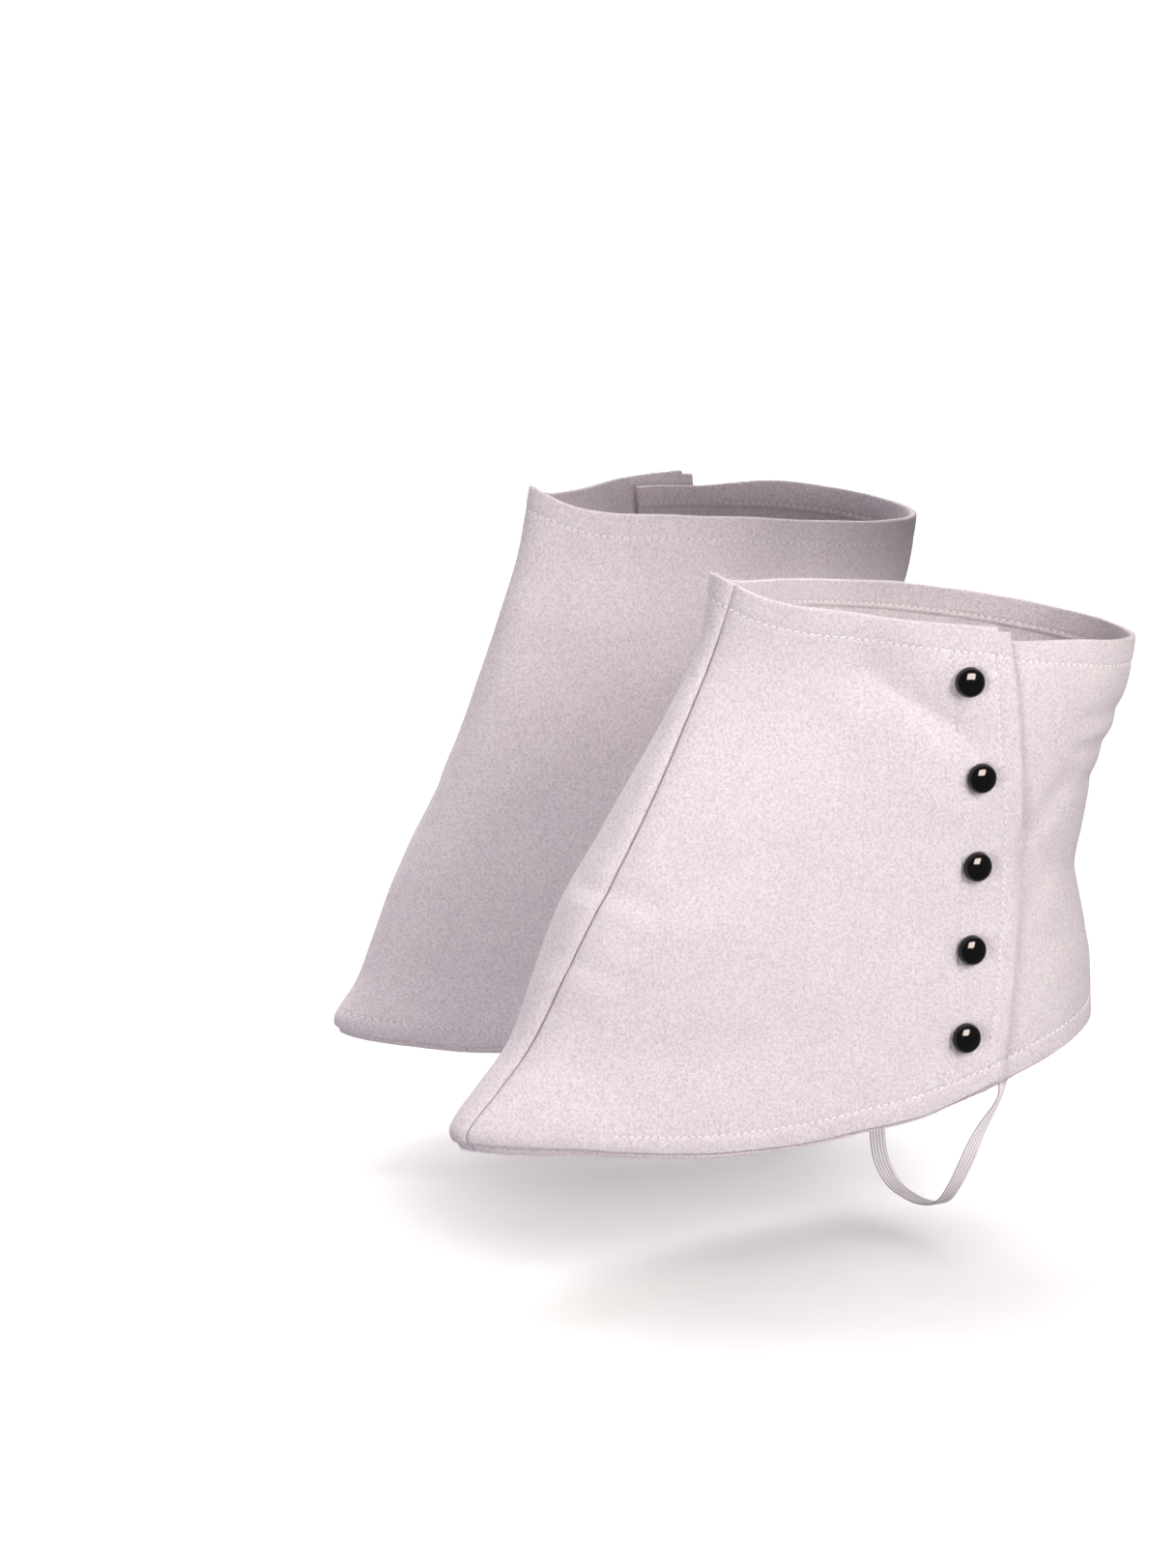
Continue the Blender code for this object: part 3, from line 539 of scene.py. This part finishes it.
# What the sewing does to the outer face: turned edges puff up between the fold and the stitch line
def sewnRelief(spat, grid, point):
    shape = panelShape
    relief = np.zeros(point.shape[:-1])
    sewn = 1 - smoothStep((point[..., 0] - spat["hemSewnTo"]) / 6)
    for away, held in ((grid["fromHem"], sewn), (grid["fromTop"], 1.0)):
        relief += shape["puff"] * np.sin(math.pi * np.clip(away / shape["hem"], 0, 1)) * held
        relief -= shape["groove"] * np.exp(-((away - shape["hem"]) / shape["grooveWidth"]) ** 2) * held
    table = np.array(spat["secondLayer"], float)
    shown = np.interp(point[..., 0], table[:, 0], table[:, 1])
    lip = np.clip(grid["fromHem"] - shown, 0, None)
    relief -= np.where(grid["fromHem"] > shown, roundOver(lip, 1.0), 1.0)
    relief -= 0.9 * np.exp(-((grid["fromHem"] - shown) / 0.42) ** 2)
    relief -= roundOver(grid["fromHem"], 0.5)
    relief -= roundOver(grid["fromTop"], shape["edgeRound"])
    return relief


def edgeShift(spat, grid, point, fromFlap, isOuter):  # how far the cut edges stray up from their line
    shape = panelShape
    nearTop, nearHem = np.exp(-grid["fromTop"] / 7), np.exp(-grid["fromHem"] / 7)
    shift = shape["edgeWander"] * unevenness(spat, point, shape["edgeWanderSize"], 3 + isOuter)
    shift = shift * np.maximum(nearTop, nearHem)
    table = np.array(spat["hemShift"], float)
    shift += np.interp(point[..., 0], table[:, 0], table[:, 1]) * nearHem
    if isOuter:
        notch = 1 - smoothStep((fromFlap - shape["notch"]) / 0.3 + 0.5)
        rise = shape["flapTopRise"] * (1 - smoothStep(fromFlap / shape["flapTopRun"]))
        overlap = np.clip(1 - fromFlap / shape["flapHemRun"], 0, 1)
        return shift + (rise - shape["notchDrop"] * notch) * nearTop + shape["flapHemRise"] * overlap * nearHem
    sunk = 1 - smoothStep((fromFlap - shape["underlap"]) / shape["underlapRun"])
    overlap = 1 - smoothStep((fromFlap - shape["underlap"] + 6) / 12)
    return shift - shape["underlapDrop"] * sunk * nearTop - shape["underlapHemDrop"] * overlap * nearHem


def feltPanel(spat, name, isOuter):
    shape = panelShape
    gapHalf = shape["seamGap"] / 2

    def seamSide(rings, sign):
        angle = seamAngle(rings)
        step = 0.004
        travelled = np.linalg.norm(eggPoint(rings, angle + step) - eggPoint(rings, angle - step), axis=-1)
        return angle + sign * gapHalf * 2 * step / travelled

    flapStops = np.concatenate((edgeStops[:-2], (4.3, 4.6, 4.8, 5.0, 5.4, 6.2, 6.8, 7.2, 7.5, 7.8, 8.2, 9.0, 11.0,
                                13.0, 15.0, 17.0, 19.0, 21.0, 22.4, 23.2, 23.6, 24.0, 24.4, 24.8, 25.6)))
    seamStops = np.concatenate((edgeStops[:-2], (4.8, 6.2, 7.0, 7.8)))
    if isOuter:
        grid = panelGrid(spat, lambda r: seamSide(r, -1), lambda r: eggAngle(r, r[..., 9]), seamStops, flapStops)
        fromSeam, fromFlap = grid["fromStart"], grid["fromEnd"]
    else:
        grid = panelGrid(spat, lambda r: eggAngle(r, r[..., 9] + shape["underlap"]),
                         lambda r: seamSide(r, 1) - 2 * math.pi, edgeStops[:-3], seamStops)
        fromSeam, fromFlap = grid["fromEnd"], grid["fromStart"]
    point = eggPoint(splineAt(spat["rings"], grid["level"]), grid["angle"])
    normal = outwards(spat, grid["level"], grid["angle"])
    depth = pressedIn(spat, point)
    depth += shape["waves"] * unevenness(spat, point, shape["waveSize"], 1)
    depth += shape["ripples"] * unevenness(spat, point, shape["rippleSize"], 2)
    relief = sewnRelief(spat, grid, point)
    seam = roundOver(fromSeam, shape["seamRound"])
    seam += shape["seamValley"] * np.exp(-(fromSeam / shape["seamValleyWidth"]) ** 2)
    flatter = 1 - shape["seamFade"] * np.exp(-(grid["fromHem"] / shape["seamFadeRun"]) ** 2)  # pressed flat at the toe
    relief -= seam * (1 + 0.5 * unevenness(spat, point, shape["seamSize"], 5)) * flatter
    turnedIn = np.maximum(bandStep(grid["fromHem"], shape["turnIn"]), bandStep(grid["fromTop"], shape["turnIn"]))
    turnedIn = np.maximum(turnedIn, bandStep(fromSeam, shape["allowance"]))
    innerRound = roundOver(grid["fromHem"], 0.7) + roundOver(grid["fromTop"], 0.7) + roundOver(fromSeam, 0.7)
    innerGroove = 0.3 * np.exp(-((grid["fromHem"] - shape["hem"]) / 0.6) ** 2)
    innerGroove += 0.3 * np.exp(-((grid["fromTop"] - shape["hem"]) / 0.6) ** 2)
    if isOuter:
        lift, near = flapLift(spat, grid, point)
        relief -= roundOver(fromFlap, shape["flapRound"])
        for line in shape["placketLines"]:
            within = smoothStep((np.minimum(grid["fromHem"], grid["fromTop"]) - 7.5) / 1.5)
            relief -= 0.34 * np.exp(-((fromFlap - line) / 0.7) ** 2) * within
        relief += 0.14 * np.sin(math.pi * np.clip(fromFlap / 7.5, 0, 1))
        wall = shape["wall"] + (shape["flapWall"] - shape["wall"]) * near
        wall = wall + (shape["turnInThick"] * turnedIn - innerGroove) * (1 - near) - innerRound
        wall -= roundOver(fromFlap, 0.7)
    else:
        lift = np.zeros(point.shape[:-1])
        covered = (point[..., 1] > 0) & (grid["angle"] > 0)
        hidden = np.where(covered, smoothStep(1 - (fromFlap - 24) / 4), 0)
        relief = np.where(hidden > 0, relief * (1 - hidden) + np.minimum(relief, 0) * hidden, relief)
        relief -= roundOver(fromFlap, 0.6)
        wall = shape["wall"] + shape["turnInThick"] * turnedIn - innerGroove - innerRound
    wall = np.maximum(wall, -relief + 0.15)
    point = point + up * edgeShift(spat, grid, point, fromFlap, isOuter)[..., None]
    outside = point + normal * (lift + relief - depth)[..., None]
    inside = point + normal * (lift - wall - depth)[..., None]
    print(name, outside.shape)
    cloth = clothShell(placed(spat, outside), placed(spat, inside), spat["side"] < 0, 2.0)
    finishPiece(cloth, name + "_felt", felt, "felt", name)
    grid.update(outside=outside, inside=inside, normal=normal, fromSeam=fromSeam, fromFlap=fromFlap)
    return cloth, grid


# Buttons

buttonLook = {
    "radius": 5.4, "lift": 0.4, "sides": 56, "dimple": 0.75, "dimpleWidth": 6.0,
    # radius share and height in mm, from the back's middle round the rim to the top of the dome
    "profile": [(0.50, 0.0), (0.84, 0.0), (0.93, 0.12), (0.985, 0.38), (1.0, 0.62), (1.0, 0.86), (0.992, 0.98),
                (0.984, 1.02), (0.984, 1.12), (0.982, 1.5), (0.968, 2.0), (0.936, 2.55), (0.875, 3.1),
                (0.785, 3.62), (0.67, 4.06), (0.52, 4.44), (0.36, 4.68), (0.18, 4.8), (0.06, 4.83)],
}


def domedButton(spat, number, forward, height):
    look = buttonLook
    name = f"{spat['name']}_button_{number}"
    level = levelAtHeight(spat, forward, height)
    ring = splineAt(spat["rings"], level)
    angle = eggAngle(ring, forward)
    base = eggPoint(ring, angle)
    normal = outwards(spat, np.array(level), angle)
    raised = panelShape["cadWall"] + panelShape["layerGap"]
    sunk = float(pressedIn(spat, base)) - look["dimple"]
    seat = Vector(placed(spat, base + normal * (raised - sunk + look["lift"])))
    top = Vector(placed(spat, base + normal * (raised - sunk + look["lift"] + 1)))
    share, low = look["profile"][0]
    deselect()
    bpy.ops.mesh.primitive_circle_add(vertices=look["sides"], radius=share * look["radius"] * mm,
                                      fill_type="NGON")
    button = bpy.context.object
    bpy.ops.object.mode_set(mode="EDIT")
    bpy.ops.mesh.select_all(action="SELECT")
    for nextShare, high in look["profile"][1:]:
        bpy.ops.mesh.extrude_region_move(TRANSFORM_OT_translate={"value": (0, 0, (high - low) * mm)})
        bpy.ops.transform.resize(value=(nextShare / share, nextShare / share, 1),
                                 center_override=(0, 0, high * mm))
        share, low = nextShare, high
    bpy.ops.mesh.select_all(action="SELECT")
    bpy.ops.mesh.normals_make_consistent(inside=False)
    bpy.ops.object.mode_set(mode="OBJECT")
    turn = (top - seat).to_track_quat("Z", "Y").to_matrix().to_4x4()
    turn.translation = seat
    button.data.transform(turn)
    return finishPiece(button, name + "_dome", polish, "button", name)


# Strap: forward, across, height from its sewn end at the hem, and the turn of its width in degrees

strapLook = {
    "width": 6.0, "thickness": 1.0, "sewn": 10.0, "gap": 0.5, "ribs": 5, "ribDepth": 0.3,
    "columns": 41, "stations": 200,
    "run": [
        (0.1, 38.6, -1.6, 26), (0.6, 38.8, -4.5, 42), (1.6, 39.0, -7.5, 46), (3.6, 39.0, -11.0, 42),
        (7.0, 38.4, -16.5, 22), (10.0, 37.0, -23.5, 4), (12.4, 34.5, -32.0, 0), (14.4, 30.5, -41.0, 0),
        (15.4, 23.5, -49.0, 0), (16.0, 12.0, -53.0, 0), (16.2, 0.0, -54.0, 0), (16.0, -12.0, -53.0, 0),
        (15.2, -22.5, -48.0, 0), (13.4, -29.5, -39.5, 0), (10.4, -34.0, -28.5, -6), (6.0, -36.3, -16.5, -10),
        (2.2, -37.2, -7.5, -2), (0.5, -37.4, -2.0, 6),
    ],
}


def strapEnd(spat, side, rise):
    look = strapLook
    ring = splineAt(spat["rings"], 0.0)
    forward = spat["strapForward"]
    angle = eggAngle(ring, forward)
    hemPoint = eggPoint(ring, angle)
    hemPoint = hemPoint - outwards(spat, np.array(0.0), angle) * foldsOnly(spat, hemPoint)
    level = levelAtHeight(spat, forward, hemPoint[2] + rise)
    ring = splineAt(spat["rings"], level)
    angle = side * eggAngle(ring, forward)
    inset = panelShape["cadWall"] + look["gap"] + look["thickness"] / 2
    point = eggPoint(ring, angle)
    point = point - outwards(spat, np.array(level), angle) * (inset + foldsOnly(spat, point))
    along = eggPoint(ring, angle + side * 0.004) - eggPoint(ring, angle - side * 0.004)
    return (*point, math.degrees(math.atan2(side * along[1], along[0])))


def foldsOnly(spat, point):
    return float(pressedIn({**spat, "creases": [], "buttons": []}, point))


def elasticStrap(spat):
    look = strapLook
    start = strapEnd(spat, 1, 0.0)
    run = [(start[0] + f, a, start[2] + h, t) for f, a, h, t in look["run"]]
    line = np.array([strapEnd(spat, 1, look["sewn"]), strapEnd(spat, 1, look["sewn"] / 2), start, *run,
                     strapEnd(spat, -1, 0.0), strapEnd(spat, -1, look["sewn"] / 2),
                     strapEnd(spat, -1, look["sewn"])])
    stations = splineAt(line, np.linspace(0, 1, look["stations"]))
    centre = stations[:, :3]
    onward = unit(np.gradient(centre, axis=0))
    alongFoot = np.array((1.0, 0.0, 0.0)) - onward * onward[:, :1]
    alongFoot = unit(alongFoot)
    outward = np.cross(alongFoot, onward)
    turn = np.radians(stations[:, 3:4])
    half = alongFoot * np.cos(turn) + outward * np.sin(turn)
    face = unit(np.cross(half, onward))
    share = np.linspace(-1, 1, look["columns"])
    rib = look["ribDepth"] * (np.abs(np.sin((share + 1) / 2 * math.pi * look["ribs"])) - 1)
    rib = rib - roundOver((1 - np.abs(share)) * look["width"] / 2, 0.35)
    bulk = look["thickness"] / 2 + rib
    spread = centre[:, None, :] + half[:, None, :] * share[None, :, None] * look["width"] / 2
    outside = spread + face[:, None, :] * bulk[None, :, None]
    inside = spread - face[:, None, :] * bulk[None, :, None]
    strap = clothShell(placed(spat, outside), placed(spat, inside), spat["side"] < 0, look["thickness"])
    travelled = np.concatenate(((0,), np.cumsum(np.linalg.norm(np.diff(centre, axis=0), axis=-1))))
    layer = strap.data.uv_layers[0]
    layer.name = "UVMap"
    for loop, uv in zip(strap.data.loops, layer.data):
        u, v = uv.uv
        uv.uv = (np.interp(v * (look["stations"] - 1), np.arange(look["stations"]), travelled) * mm,
                 u * look["width"] * mm)
    print(spat["name"], "strap", round(float(travelled[-1]), 1), "mm")
    return finishPiece(strap, spat["name"] + "_elastic", elastic, "elastic", spat["name"] + "_strap")


# Sewing

stitchLook = {"pitch": 2.7, "length": 1.95, "thick": 0.44, "rise": 0.13, "dip": 0.36, "holeSize": 0.3,
              "placketSink": 0.16}


def stitchShape():  # one stitch along X: a thread that dives into the felt at both ends
    look = stitchLook
    sides, rings = 6, 7
    points, faces = [], []
    for i in range(rings):
        along = i / (rings - 1) * 2 - 1
        thick = look["thick"] / 2 * math.sqrt(max(1 - (abs(along) * 0.94) ** 4, 0))
        high = look["rise"] - look["dip"] * along ** 4
        for k in range(sides):
            a = 2 * math.pi * k / sides
            points.append((along * look["length"] / 2, thick * math.cos(a), high + thick * math.sin(a)))
    for i in range(rings - 1):
        for k in range(sides):
            n = (k + 1) % sides
            faces.append((i * sides + k, i * sides + n, (i + 1) * sides + n, (i + 1) * sides + k))
    faces.append(tuple(reversed(range(sides))))
    faces.append(tuple(range((rings - 1) * sides, rings * sides)))
    return np.array(points), faces


# A small disc laid over each needle hole, which carries the painted shade of the pit
def pitShape():
    sides = 8
    points = [(stitchLook["holeSize"] * math.cos(2 * math.pi * k / sides) * 0.8,
               stitchLook["holeSize"] * math.sin(2 * math.pi * k / sides), 0.03) for k in range(sides)]
    points += [(p[0] * 0.5, p[1] * 0.5, 0.09) for p in points] + [(p[0], p[1], -0.15) for p in points]
    faces = [tuple(range(sides, 2 * sides)), tuple(reversed(range(2 * sides, 3 * sides)))]
    for k in range(sides):
        n = (k + 1) % sides
        faces.append((k, n, sides + n, sides + k))
        faces.append((2 * sides + k, 2 * sides + n, n, k))
    return np.array(points), faces


def stitchSpots(line, normals, sink, drift):  # where each stitch sits along a line of points
    steps = np.linalg.norm(np.diff(line, axis=0), axis=-1)
    far = np.concatenate(((0,), np.cumsum(steps)))
    count = int(far[-1] / stitchLook["pitch"])
    stitches, pits = [], []
    for n in range(count):
        at = (n + 0.5) * far[-1] / count
        centre, ahead, behind, normal = (
            np.array([np.interp(x, far, source[:, i]) for i in range(3)])
            for x, source in ((at, line), (at + 0.6, line), (at - 0.6, line), (at, normals)))
        onward = unit(ahead - behind)
        normal = unit(normal - onward * (normal @ onward))
        beside = np.cross(normal, onward)
        slant = 0.10 + drift.uniform(-0.07, 0.07)
        along = unit(onward + beside * slant)
        turn = np.stack((along, np.cross(normal, along), normal))
        stitches.append((centre + beside * drift.uniform(-0.07, 0.07) - normal * (sink + drift.uniform(0, 0.08)),
                         turn))
        pits.append((centre - onward * far[-1] / count / 2, turn))
    return stitches, pits


def laidOn(spat, name, basePoints, baseFaces, spots):  # a tiled piece, moved from the foot to the frame
    piece = tiled(name, basePoints, baseFaces, spots)
    flat = np.zeros(len(piece.data.vertices) * 3)
    piece.data.vertices.foreach_get("co", flat)
    setPoints(piece, placed(spat, flat.reshape(-1, 3)))
    if spat["side"] < 0:
        deselect()
        bpy.context.view_layer.objects.active = piece
        piece.select_set(True)
        bpy.ops.object.mode_set(mode="EDIT")
        bpy.ops.mesh.select_all(action="SELECT")
        bpy.ops.mesh.flip_normals()
        bpy.ops.object.mode_set(mode="OBJECT")
    return piece


def sewPieces(spat, name, lines):
    drift = random.Random(name)
    stitches, pits = [], []
    for line, normals, sink in lines:
        found = stitchSpots(line, normals, sink, drift)
        stitches += found[0]
        pits += found[1]
    sewn = []
    for label, (points, faces), spots, material in (
            ("thread", stitchShape(), stitches, thread), ("needle_pit_shade", pitShape(), pits, pitShadeMaterial)):
        sewn.append(finishPiece(laidOn(spat, f"{name}_{label}", points, faces, spots), f"{name}_{label}",
                                material, "felt"))
    return sewn


def seamLines(spat, grid, isOuter):  # points, normals and how deep the thread sinks
    middle = grid["fromHem"].shape[0] // 2
    start = 1.0 if isOuter else panelShape["underlap"] + 0.5
    startInside = panelShape["underlap"] + 2 if isOuter else 1.0
    rows = [int(np.argmin(np.abs(grid[key][:, 0] - panelShape["hem"]))) for key in ("fromHem", "fromTop")]
    lines = []
    for row in rows:
        shows = grid["fromFlap"][row] > start
        if row == rows[0]:
            shows &= grid["outside"][row, :, 0] < spat["hemSewnTo"]
        lines.append((grid["outside"][row, shows], grid["normal"][row, shows], 0.0))
        within = grid["fromFlap"][row] > startInside
        lines.append((grid["inside"][row, within][::-1], -grid["normal"][row, within][::-1], 0.0))
    if isOuter:
        for line in panelShape["placketLines"]:
            column = int(np.argmin(np.abs(grid["fromFlap"][middle] - line)))
            inner = slice(rows[0], rows[1] + 1)
            lines.append((grid["outside"][inner, column], grid["normal"][inner, column],
                          stitchLook["placketSink"]))
    return lines


# Nap

napLook = {
    "perArea": 0.30,                            # fibre ends on each square mm of the outer face
    "edgeExtra": 18.0, "edgeWidth": 0.7,         # how many times more on the cut edges, within this many mm
    "length": (0.5, 1.3), "edgeLength": (0.7, 1.9), "stray": 0.02, "strayLength": (1.8, 3.6),
    "thick": 0.11,
}


# Loose fibre ends: slim three-sided spikes that lean every way, thickest along the cut edges
def napPiece(spat, name, grid):
    look = napLook
    chance = np.random.default_rng(len(name) * 7 + spat["side"])
    face, normal = grid["outside"], grid["normal"]
    near = np.minimum(np.minimum(grid["fromHem"], grid["fromTop"]), grid["fromFlap"])
    across = np.linalg.norm(face[:-1, 1:] - face[:-1, :-1], axis=-1)
    tall = np.linalg.norm(face[1:, :-1] - face[:-1, :-1], axis=-1)
    wanted = (across * tall * look["perArea"] * (1 + look["edgeExtra"] * np.exp(-near[:-1, :-1] / look["edgeWidth"])))
    count = int(wanted.sum())
    cell = chance.choice(wanted.size, size=count, p=wanted.ravel() / wanted.sum())
    row, column = np.unravel_index(cell, wanted.shape)
    u, v = chance.random((count, 1)), chance.random((count, 1))

    def between(values):
        low = values[row, column] * (1 - u) + values[row, column + 1] * u
        high = values[row + 1, column] * (1 - u) + values[row + 1, column + 1] * u
        return low * (1 - v) + high * v

    root, outward = between(face), between(normal)
    edge = np.exp(-near[row, column] / look["edgeWidth"])[:, None]
    upwards = np.where(grid["fromTop"][row, column] < grid["fromHem"][row, column], 1.0, -1.0)[:, None]
    lean = chance.normal(size=(count, 3))
    lean -= outward * np.sum(lean * outward, axis=1, keepdims=True)
    along = unit(unit(lean) * chance.uniform(0.5, 1.6, (count, 1)) + outward * (0.55 + 0.2 * edge)
                 + up * upwards * edge * 0.9)
    length = chance.uniform(*look["length"], (count, 1)) * (1 - edge) + chance.uniform(*look["edgeLength"], (count, 1)) * edge
    stray = chance.random((count, 1)) < look["stray"] * (0.3 + edge)
    length = np.where(stray, chance.uniform(*look["strayLength"], (count, 1)), length)
    beside = unit(np.cross(along, np.roll(along, 1, axis=1) + 0.3))
    turns = np.stack((beside * look["thick"], np.cross(along, beside) * look["thick"], along * length), axis=1)
    deselect()
    bpy.ops.mesh.primitive_cone_add(vertices=3, radius1=0.5, radius2=0, depth=1, location=(0, 0, 0.42))
    spike = bpy.context.object
    bpy.ops.object.transform_apply(location=True)
    basePoints = np.array([vertex.co[:] for vertex in spike.data.vertices])
    baseFaces = [tuple(face.vertices) for face in spike.data.polygons]
    bpy.data.objects.remove(spike)
    print(name, "nap", count)
    return finishPiece(laidOn(spat, name + "_nap", basePoints, baseFaces, list(zip(root, turns))), name + "_nap",
                       nap, "felt")


felt, nap, thread, pitShadeMaterial = makeFelt(), makeNap(), makeThread(), makePitShadeMaterial()
polish, elastic = makePolish(), makeElastic()
print("materials made")

for spat in spats:
    side = spat["name"]
    outer, outerGrid = feltPanel(spat, side + "_outer_panel", True)
    inner, innerGrid = feltPanel(spat, side + "_inner_panel", False)
    outerSewing = sewPieces(spat, side + "_outer", seamLines(spat, outerGrid, True))
    innerSewing = sewPieces(spat, side + "_inner", seamLines(spat, innerGrid, False))
    outerSewing.append(napPiece(spat, side + "_outer", outerGrid))
    innerSewing.append(napPiece(spat, side + "_inner", innerGrid))
    for number, (forward, height) in enumerate(spat["buttons"], start=1):
        domedButton(spat, number, forward, height)
    elasticStrap(spat)
    print(side, "spat made")


# Floor, light and camera

stageLook = {"floorSize": 16.0, "world": "#FAF2FF", "worldStrength": 0.18}
deselect()
bpy.ops.mesh.primitive_plane_add(size=stageLook["floorSize"], location=(0, 0, -foot["ankleHeight"] * mm))
floor = bpy.context.object
floor.name = "floor"
floor.visible_glossy = floor.visible_diffuse = False  # the felt's folds are shaded by the softboxes alone
paper, paperTree, paperShader = newMaterial("matt_white_paper")
paperGrain = addNode(paperTree, "ShaderNodeTexNoise", {"Scale": 40.0, "Detail": 2.0},
                     {"Vector": addNode(paperTree, "ShaderNodeTexCoord").outputs["Object"]})
paperTint = addNode(paperTree, "ShaderNodeMix", {"data_type": "RGBA", 6: colour("#F5F4F5"), 7: colour("#FAFAFA")},
                    {0: paperGrain.outputs[0]})
paperTree.links.new(paperTint.outputs[2], paperShader.inputs["Base Color"])
paperShader.inputs["Roughness"].default_value = 0.9
floor.data.materials.append(paper)

# A black card over the near spat, out of the camera's sight, keeps the key light off the far one
flagLook = {"centre": (0.0, 0.105, 0.21), "long": 0.21, "tall": 0.2}
bpy.ops.mesh.primitive_plane_add(size=1, location=flagLook["centre"], rotation=(0, math.pi / 2, 0))
flag = bpy.context.object
flag.name = "flag"
flag.scale = (flagLook["tall"], flagLook["long"], 1)
flag.visible_camera = flag.visible_glossy = False
card, _, cardShader = newMaterial("matt_black_card")
cardShader.inputs["Base Color"].default_value = colour("#101010")
cardShader.inputs["Roughness"].default_value = 1.0
flag.data.materials.append(card)

world = bpy.data.worlds.new("studio")
bpy.context.scene.world = world
world.use_nodes = True
world.node_tree.nodes["Background"].inputs[0].default_value = colour(stageLook["world"])
world.node_tree.nodes["Background"].inputs[1].default_value = stageLook["worldStrength"]

lights = [  # name, what it points at, azimuth, elevation, distance m, size m, spread and roll degrees, W, colour
    ("key_softbox", (0.0, -0.05, 0.03), 105, 31, 1.35, 0.7, 180, 0, 12.5, "#FFFCF6"),
    ("rear_softbox", (0.0, -0.05, 0.03), 132, 14, 1.35, 0.7, 180, 0, 5, "#FFFCF6"),
    ("front_softbox", (0.0, -0.05, 0.03), 38, 5, 1.7, 0.5, 180, 0, 15, "#FFFCFE"),
    ("top_softbox", (0.0, -0.05, 0.03), 80, 66, 2.2, 0.8, 180, 0, 3, "#FFFCFF"),
    ("left_softbox", (-0.16, -0.05, 0.0), 262, 30, 1.6, 0.9, 180, 0, 20, "#FFFCFE"),
    ("backdrop_light", (-2.6, 1.25, -0.15), 0, 90, 2.6, 5.0, 90, 0, 85, "#FFFFFF"),
    ("button_window", (0.0, -0.05, 0.03), 92, 36, 1.35, 1.05, 180, -18, 100, "#FFEEE2"),
    ("left_window", (-0.165, -0.05, 0.03), 268, 36, 1.35, 0.9, 180, 18, 70, "#FFEEE2"),
]


def directionOf(azimuth, elevation):
    a, e = math.radians(azimuth), math.radians(elevation)
    return Vector((math.sin(a) * math.cos(e), -math.cos(a) * math.cos(e), math.sin(e)))


for name, target, azimuth, elevation, distance, size, spread, roll, power, tint in lights:
    back = directionOf(azimuth, elevation)
    lamp = bpy.data.lights.new(name, "AREA")
    lamp.shape, lamp.size, lamp.spread = "SQUARE", size, math.radians(spread)
    lamp.energy, lamp.color = power, colour(tint)[:3]
    box = bpy.data.objects.new(name, lamp)
    bpy.context.scene.collection.objects.link(box)
    box.visible_glossy = name.endswith("window")  # the polished buttons on each side show one window
    box.visible_diffuse = not name.endswith("window")  # of light, which adds nothing to the felt
    box.location = Vector(target) + back * distance
    box.rotation_euler = back.to_track_quat("Z", "Y").to_euler()
    box.rotation_euler.rotate_axis("Z", math.radians(roll))

view = {"azimuth": 64.0, "elevation": 15.6, "distance": 2.4, "target": (0.0, -0.12896, 0.03620), "lens": 159.8}
cameraBack = directionOf(view["azimuth"], view["elevation"])
cameraData = bpy.data.cameras.new("camera")
cameraData.lens, cameraData.sensor_width, cameraData.clip_end = view["lens"], 36.0, 50.0
camera = bpy.data.objects.new("camera", cameraData)
bpy.context.scene.collection.objects.link(camera)
camera.location = Vector(view["target"]) + cameraBack * view["distance"]
camera.rotation_euler = cameraBack.to_track_quat("Z", "Y").to_euler()
bpy.context.scene.camera = camera
bpy.context.scene.view_settings.view_transform = "Standard"  # so that white felt comes out white
print("stage set")
